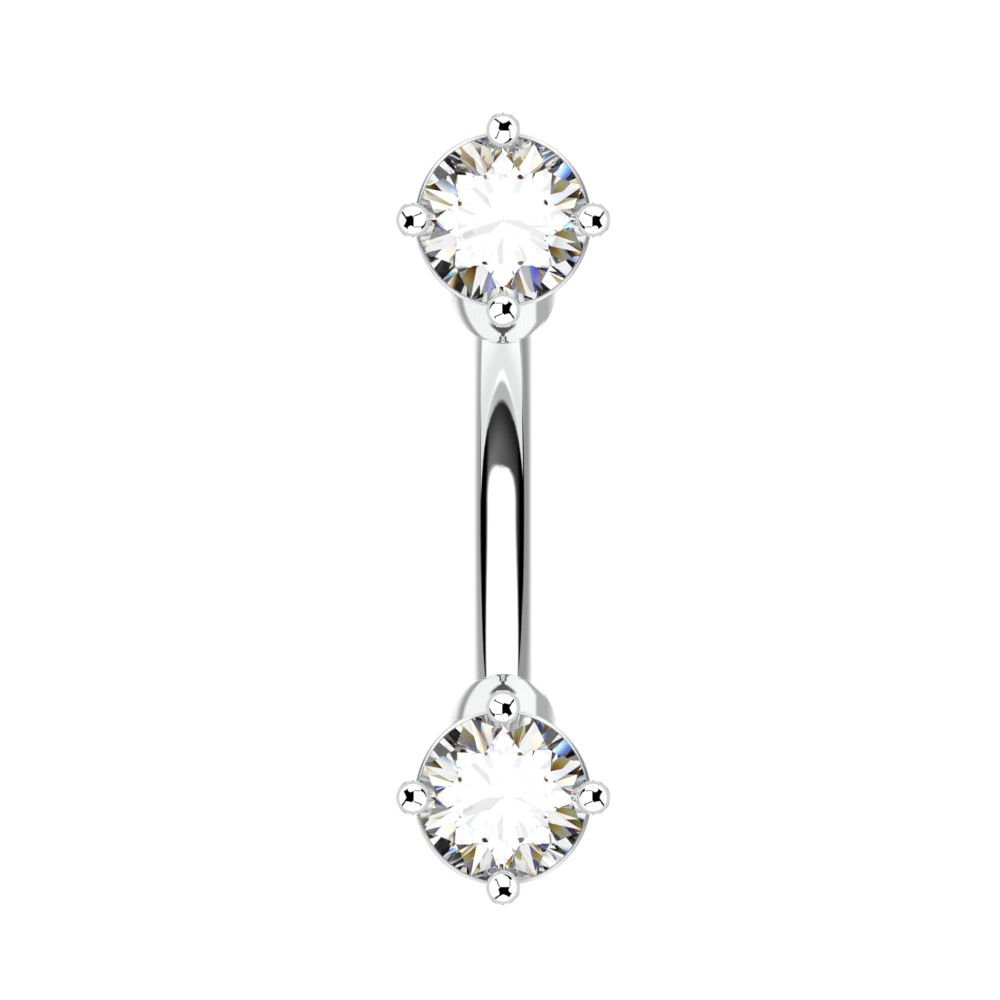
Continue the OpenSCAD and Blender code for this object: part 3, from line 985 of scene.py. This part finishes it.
def tentSurfaces():
    surfaces = {}
    for name in ("white", "black", "halo", "grey", "card", "ball"):
        material, tree, output = newMaterial("beadTent" + name.capitalize())
        light = tree.nodes.new("ShaderNodeEmission")
        light.inputs["Strength"].default_value = beadTent.get(name, 1)
        clear = tree.nodes.new("ShaderNodeBsdfTransparent")
        # nothing of it shows from outside or through the stone
        path = tree.nodes.new("ShaderNodeLightPath")
        outside = calc(tree, "MAXIMUM", tree.nodes.new("ShaderNodeNewGeometry").outputs["Backfacing"],
                       calc(tree, "GREATER_THAN", path.outputs["Transmission Depth"], 0.5))
        mix = tree.nodes.new("ShaderNodeMixShader")
        tree.links.new(outside, mix.inputs[0])
        tree.links.new(light.outputs[0], mix.inputs[1])
        tree.links.new(clear.outputs[0], mix.inputs[2])
        tree.links.new(mix.outputs[0], output.inputs["Surface"])
        surfaces[name] = material
        if name == "ball":
            spot = tree.nodes.new("ShaderNodeSeparateXYZ")
            tree.links.new(tree.nodes.new("ShaderNodeTexCoord").outputs["UV"], spot.inputs[0])
            tone = ballTone(tree, spot.outputs["X"], spot.outputs["Y"])
            tree.links.new(toneLight(tree, tone), light.inputs["Color"])
    return surfaces


def ballCells():
    count, reach = beadTent["ballCells"], beadTent["ballReach"]
    rise = (beadTent["ballTo"] - beadTent["ballFrom"]) / beadTent["ballRows"]
    for index in range(count):
        left, right = (reach * (2 * k / count - 1) for k in (index, index + 1))
        for row in range(beadTent["ballRows"]):
            low, high = (beadTent["ballFrom"] + rise * k for k in (row, row + 1))
            if max(abs(left), abs(right)) ** 2 + high ** 2 < reach:
                yield [(left, low), (right, low), (right, high), (left, high)]


def makeBeadTents():
    surfaces = tentSurfaces()
    names = list(surfaces)
    turns = (lambda u, v: (u, v), lambda u, v: (-v, -u), lambda u, v: (v, u), lambda u, v: (v, -u))
    corners, faces, tones, spots = [], [], [], []

    def addFace(tone, middle, points, side, places):
        # faces look at what mirrors them
        moved = [layDown @ Vector((point.x, side * (point.y + stoneHeight), point.z))
                 for point in (middle, *points)]
        order = list(range(len(points)))
        normal = sum(((moved[a + 1] - moved[0]).cross(moved[b + 1] - moved[0])
                      for a, b in zip(order, order[1:] + order[:1])), Vector())
        if normal.dot(moved[1] - moved[0]) > 0:
            order.reverse()
        faces.append([len(corners) + index for index in order])
        spots.extend(places[index] for index in order)
        corners.extend(moved[1:])
        tones.append(names.index(tone))

    for side in (1, -1):
        card = [Vector((x, -beadTent["cardDrop"], z)) for x, z in beadTent["cardOutline"]]
        addFace("card", ballMiddle, card, side, [(0, 0)] * len(card))
        for cell in ballCells():
            points = [ballMiddle + tentPoint(u, -v, beadTent["ballTent"], barbell["ballRadius"])
                      for u, v in cell]
            addFace("ball", ballMiddle, points, side, cell)
        for middle, turn in zip(beadMiddles, turns):
            for tone, outline, drop in tentParts():
                points = [middle + tentPoint(*turn(u, v), beadTent["radius"] - drop, setting["beadRadius"])
                          for u, v in outline]
                addFace(tone, middle, points, side, [(0, 0)] * len(points))
    mesh = bpy.data.meshes.new("beadTents")
    mesh.from_pydata(corners, [], faces)
    for name in names:
        mesh.materials.append(surfaces[name])
    mesh.polygons.foreach_set("material_index", tones)
    layer = mesh.uv_layers.new(name="place")
    layer.data.foreach_set("uv", [part for spot in spots for part in spot])
    tents = bpy.data.objects.new("beadTents", mesh)
    bpy.context.collection.objects.link(tents)
    tents.visible_camera = False
    tents.visible_diffuse = False
    tents.visible_transmission = False
    tents.visible_shadow = False


makeBeadTents()
print("studio lit")

scene = bpy.context.scene
scene.view_settings.view_transform = "Standard"
scene.view_settings.look = "None"
scene.cycles.max_bounces = 24
scene.cycles.glossy_bounces = 16
scene.cycles.transmission_bounces = 16
scene.cycles.transparent_max_bounces = 32
scene.cycles.caustics_reflective = True
scene.cycles.caustics_refractive = True
scene.cycles.blur_glossy = 0
scene.cycles.sample_clamp_indirect = 0
scene.cycles.use_adaptive_sampling = False
scene.cycles.use_denoising = True
scene.cycles.denoiser = "OPENIMAGEDENOISE"
scene.cycles.denoising_input_passes = "RGB_ALBEDO_NORMAL"
scene.cycles.denoising_prefilter = "ACCURATE"
